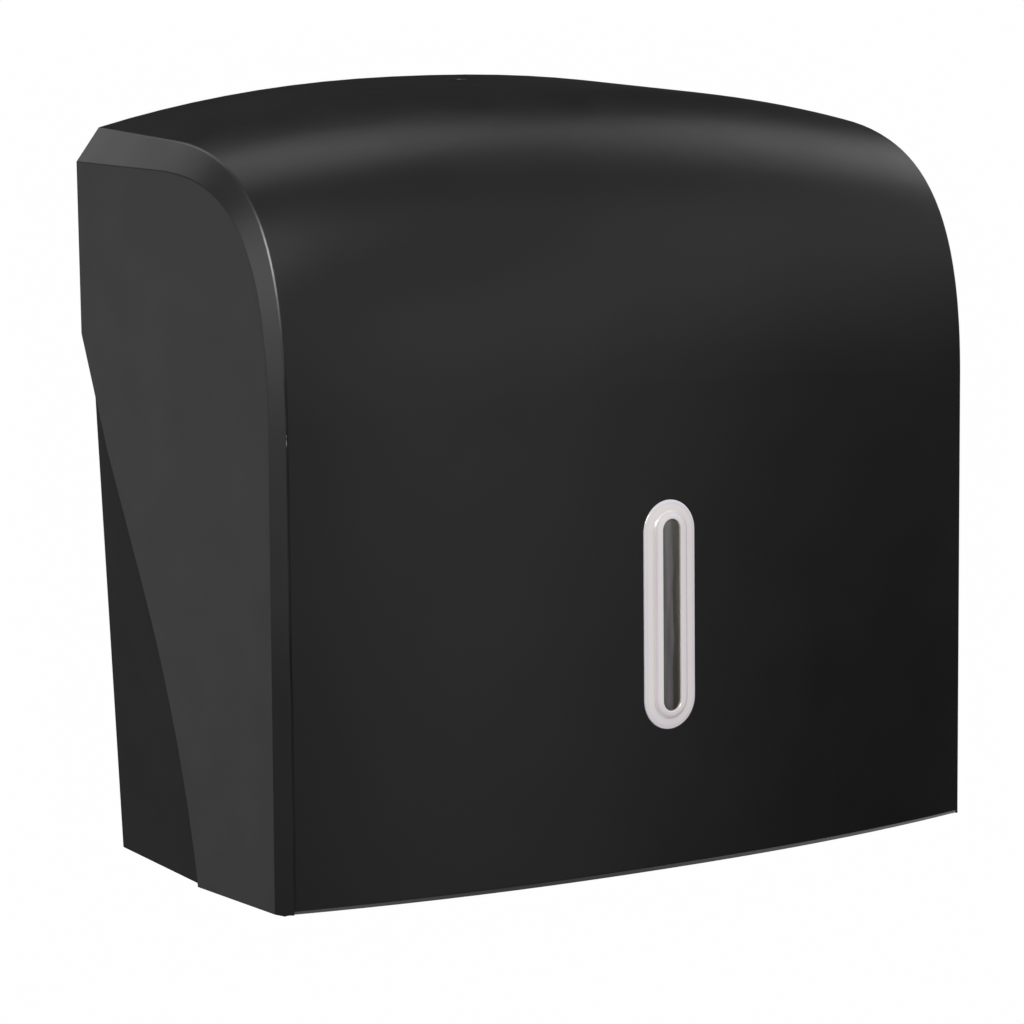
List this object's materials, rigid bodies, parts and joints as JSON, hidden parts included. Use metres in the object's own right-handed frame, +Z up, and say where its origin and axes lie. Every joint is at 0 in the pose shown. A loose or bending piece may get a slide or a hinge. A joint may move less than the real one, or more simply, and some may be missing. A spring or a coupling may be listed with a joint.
{
  "type": "folded paper towel dispenser",
  "caption": "Wall-mounted cabinet for folded paper towels, with a hinged crowned cover, a towel-level window and a dispensing slot in its floor.",
  "frame": {"origin": "centre of the four wall screw holes, on the housing's back face", "axes": "+Z up, +X to the right as seen from the front, +Y into the wall"},
  "size_m": [0.2836, 0.1479, 0.2614],
  "materials": {
    "cover_plastic": "satin black moulded plastic",
    "housing_plastic": "fine matt black moulded plastic",
    "liner_plastic": "smooth dark grey plastic",
    "guide_plastic": "matt light grey plastic",
    "bezel_plastic": "glossy off-white plastic",
    "smoked_lens": "clear smoked plastic",
    "clip_plastic": "matt black plastic",
    "bush_plastic": "natural white acetal",
    "zinc_steel": "bright zinc-plated steel",
    "lock_metal": "satin nickel-plated"
  },
  "bodies": {
    "housing": {"back_housing": "housing_plastic", "throat_insert": "liner_plastic", "stack_guide_left": "guide_plastic", "stack_guide_right": "guide_plastic", "catch_bracket": "zinc_steel", "catch_screw_left": "zinc_steel", "catch_screw_right": "zinc_steel", "hinge_pin_left": "zinc_steel", "hinge_pin_right": "zinc_steel"},
    "cover": {"front_cover": "cover_plastic", "hinge_bush_left": "bush_plastic", "hinge_bush_right": "bush_plastic", "window_bezel": "bezel_plastic", "window_lens": "smoked_lens", "window_retainer": "clip_plastic", "lock_body": "lock_metal", "lock_screw_left": "zinc_steel", "lock_screw_right": "zinc_steel"},
    "lock": {"lock_barrel": "lock_metal", "lock_cam": "zinc_steel", "cam_screw": "zinc_steel"}
  },
  "joints": [
    {"name": "cover_hinge", "type": "hinge", "parent": "housing", "child": "cover", "pos_m": [0, -0.102, -0.115], "axis": [1, 0, 0], "range_deg": [0, 95]},
    {"name": "lock_turn", "type": "hinge", "parent": "cover", "child": "lock", "pos_m": [0, -0.022, 0.12844], "axis": [0, 0, 1], "range_deg": [0, 90]}
  ]
}
